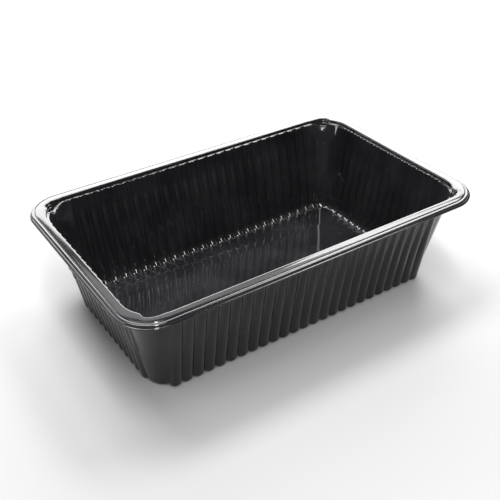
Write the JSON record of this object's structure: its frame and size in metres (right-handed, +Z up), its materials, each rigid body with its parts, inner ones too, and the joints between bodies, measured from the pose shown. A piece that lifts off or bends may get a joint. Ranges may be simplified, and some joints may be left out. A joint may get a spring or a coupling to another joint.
{
  "type": "food tray",
  "caption": "Deep rectangular black plastic food tray with fluted sloping walls, rounded corners and a flat stepped rim for a lidding film.",
  "frame": {"origin": "middle of the tray's outline, at the level it rests on", "axes": "+X along the long side, +Y along the short side, +Z up out of the open top"},
  "size_m": [0.26, 0.166, 0.07],
  "materials": {
    "tray_plastic": "black polypropylene sheet, glossy with a faint grain"
  },
  "bodies": {
    "root": {"tray": "tray_plastic"}
  },
  "joints": []
}
